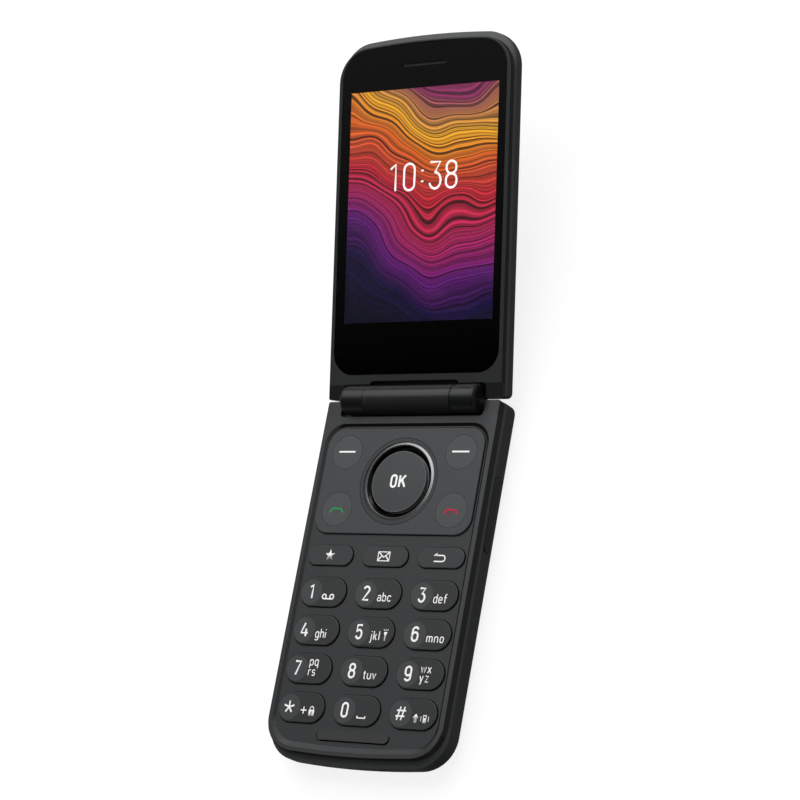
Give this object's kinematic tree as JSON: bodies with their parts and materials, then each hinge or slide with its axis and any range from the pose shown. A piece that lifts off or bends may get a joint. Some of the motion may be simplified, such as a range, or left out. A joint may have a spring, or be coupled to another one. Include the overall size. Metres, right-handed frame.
{
  "type": "flip phone",
  "caption": "Folding mobile phone with a hinged display lid, navigation ring, soft keys, number keypad and a side volume rocker, shown open.",
  "frame": {"origin": "centre of the base half's flat back face", "axes": "+Y runs along the phone from the keypad end towards the hinge, +Z out of the keys, +X to the right of a person looking at the keys"},
  "size_m": [0.0579, 0.2013, 0.036],
  "materials": {
    "housing": "fine matte, dark charcoal",
    "rear_shell": "fine matte, near black",
    "panel": "fine satin, dark grey",
    "key": "satin, dark grey with white legends",
    "soft_key": "satin, grey with a legend",
    "nav_black": "gloss black slope, satin lip",
    "trim_metal": "turned, bright",
    "silicone": "matte silicone",
    "dome_metal": "thin sheet with snap domes",
    "board": "green laminate",
    "battery": "wrapped cell",
    "contact": "black block with sprung tips",
    "port_metal": "stamped shell",
    "jack_plastic": "black moulding",
    "speaker": "black frame",
    "mic_metal": "small can",
    "motor_metal": "drawn can",
    "weight_metal": "sintered heavy metal",
    "sim_metal": "stamped tray",
    "screw_steel": "blackened",
    "hinge_metal": "ground",
    "flex": "amber film",
    "lid_frame": "fine matte, near black",
    "lid_shell": "fine matte, near black",
    "glass": "clear over the screen, black border",
    "screen": "lit screen with an abstract picture",
    "mesh": "black woven",
    "window": "gloss black",
    "outer_screen": "dark panel",
    "camera": "black with a lens",
    "cap": "satin near black"
  },
  "bodies": {
    "base": {"front_housing": "housing", "rear_housing": "rear_shell", "battery_cover": "rear_shell", "nav_panel": "panel", "keypad_membrane": "silicone", "dome_sheet": "dome_metal", "main_board": "board", "battery": "battery", "battery_contacts": "contact", "usb_port": "port_metal", "headset_jack": "jack_plastic", "loudspeaker": "speaker", "microphone": "mic_metal", "vibration_motor": "motor_metal", "sim_socket": "sim_metal", "base_screws": "screw_steel", "hinge_can": "hinge_metal", "hinge_follower": "hinge_metal", "hinge_spring": "hinge_metal", "hinge_flex_base": "flex"},
    "lid": {"lid_front_frame": "lid_frame", "lid_rear_cover": "lid_shell", "display_glass": "glass", "display_module": "screen", "earpiece": "speaker", "earpiece_mesh": "mesh", "outer_window": "window", "outer_display": "outer_screen", "camera_module": "camera", "lid_board": "board", "lid_screws": "screw_steel", "hinge_cam": "hinge_metal", "hinge_pin": "hinge_metal", "hinge_caps": "cap", "hinge_flex_lid": "flex"},
    "nav_actuator": {"nav_actuator": "silicone"},
    "nav_ring": {"nav_ring": "nav_black", "nav_trim": "trim_metal"},
    "ok_key": {"ok_key": "key"},
    "volume_rocker": {"volume_rocker": "rear_shell"},
    "vibration_weight": {"vibration_weight": "weight_metal"},
    "key_1": {"key_1": "key"},
    "key_2": {"key_2": "key"},
    "key_3": {"key_3": "key"},
    "key_4": {"key_4": "key"},
    "key_5": {"key_5": "key"},
    "key_6": {"key_6": "key"},
    "key_7": {"key_7": "key"},
    "key_8": {"key_8": "key"},
    "key_9": {"key_9": "key"},
    "key_star": {"key_star": "key"},
    "key_0": {"key_0": "key"},
    "key_hash": {"key_hash": "key"},
    "favourite_key": {"favourite_key": "key"},
    "message_key": {"message_key": "key"},
    "back_key": {"back_key": "key"},
    "soft_key_left": {"soft_key_left": "soft_key"},
    "soft_key_right": {"soft_key_right": "soft_key"},
    "call_key": {"call_key": "soft_key"},
    "end_key": {"end_key": "soft_key"}
  },
  "joints": [
    {"name": "lid_hinge", "type": "hinge", "parent": "base", "child": "lid", "pos_m": [0, 0.051, 0.0104], "axis": [1, 0, 0], "range_deg": [0, 165]},
    {"name": "key_1_press", "type": "slide", "parent": "base", "child": "key_1", "axis": [0, 0, -1], "range_m": [0, 0.00025], "stiffness_N_per_m": 2000},
    {"name": "key_2_press", "type": "slide", "parent": "base", "child": "key_2", "axis": [0, 0, -1], "range_m": [0, 0.00025], "stiffness_N_per_m": 2000},
    {"name": "key_3_press", "type": "slide", "parent": "base", "child": "key_3", "axis": [0, 0, -1], "range_m": [0, 0.00025], "stiffness_N_per_m": 2000},
    {"name": "key_4_press", "type": "slide", "parent": "base", "child": "key_4", "axis": [0, 0, -1], "range_m": [0, 0.00025], "stiffness_N_per_m": 2000},
    {"name": "key_5_press", "type": "slide", "parent": "base", "child": "key_5", "axis": [0, 0, -1], "range_m": [0, 0.00025], "stiffness_N_per_m": 2000},
    {"name": "key_6_press", "type": "slide", "parent": "base", "child": "key_6", "axis": [0, 0, -1], "range_m": [0, 0.00025], "stiffness_N_per_m": 2000},
    {"name": "key_7_press", "type": "slide", "parent": "base", "child": "key_7", "axis": [0, 0, -1], "range_m": [0, 0.00025], "stiffness_N_per_m": 2000},
    {"name": "key_8_press", "type": "slide", "parent": "base", "child": "key_8", "axis": [0, 0, -1], "range_m": [0, 0.00025], "stiffness_N_per_m": 2000},
    {"name": "key_9_press", "type": "slide", "parent": "base", "child": "key_9", "axis": [0, 0, -1], "range_m": [0, 0.00025], "stiffness_N_per_m": 2000},
    {"name": "key_star_press", "type": "slide", "parent": "base", "child": "key_star", "axis": [0, 0, -1], "range_m": [0, 0.00025], "stiffness_N_per_m": 2000},
    {"name": "key_0_press", "type": "slide", "parent": "base", "child": "key_0", "axis": [0, 0, -1], "range_m": [0, 0.00025], "stiffness_N_per_m": 2000},
    {"name": "key_hash_press", "type": "slide", "parent": "base", "child": "key_hash", "axis": [0, 0, -1], "range_m": [0, 0.00025], "stiffness_N_per_m": 2000},
    {"name": "favourite_key_press", "type": "slide", "parent": "base", "child": "favourite_key", "axis": [0, 0, -1], "range_m": [0, 0.00025], "stiffness_N_per_m": 2000},
    {"name": "message_key_press", "type": "slide", "parent": "base", "child": "message_key", "axis": [0, 0, -1], "range_m": [0, 0.00025], "stiffness_N_per_m": 2000},
    {"name": "back_key_press", "type": "slide", "parent": "base", "child": "back_key", "axis": [0, 0, -1], "range_m": [0, 0.00025], "stiffness_N_per_m": 2000},
    {"name": "soft_key_left_press", "type": "slide", "parent": "base", "child": "soft_key_left", "axis": [0, 0, -1], "range_m": [0, 0.00025], "stiffness_N_per_m": 2000},
    {"name": "soft_key_right_press", "type": "slide", "parent": "base", "child": "soft_key_right", "axis": [0, 0, -1], "range_m": [0, 0.00025], "stiffness_N_per_m": 2000},
    {"name": "call_key_press", "type": "slide", "parent": "base", "child": "call_key", "axis": [0, 0, -1], "range_m": [0, 0.00025], "stiffness_N_per_m": 2000},
    {"name": "end_key_press", "type": "slide", "parent": "base", "child": "end_key", "axis": [0, 0, -1], "range_m": [0, 0.00025], "stiffness_N_per_m": 2000},
    {"name": "ok_key_press", "type": "slide", "parent": "base", "child": "ok_key", "axis": [0, 0, -1], "range_m": [0, 0.00025], "stiffness_N_per_m": 2000},
    {"name": "nav_up_down", "type": "hinge", "parent": "base", "child": "nav_actuator", "pos_m": [0, 0.0277, 0.0081], "axis": [1, 0, 0], "range_deg": [-0.9, 0.9], "stiffness_Nm_per_rad": 1},
    {"name": "nav_left_right", "type": "hinge", "parent": "nav_actuator", "child": "nav_ring", "pos_m": [0, 0.0277, 0.0081], "axis": [0, 1, 0], "range_deg": [-0.9, 0.9], "stiffness_Nm_per_rad": 1},
    {"name": "volume_rock", "type": "hinge", "parent": "base", "child": "volume_rocker", "pos_m": [0.027, 0.0199, 0.0056], "axis": [0, 0, 1], "range_deg": [-0.9, 0.9], "stiffness_Nm_per_rad": 1},
    {"name": "weight_spin", "type": "hinge", "parent": "base", "child": "vibration_weight", "pos_m": [0.0166, 0.023, 0.00405], "axis": [1, 0, 0], "continuous": true}
  ]
}
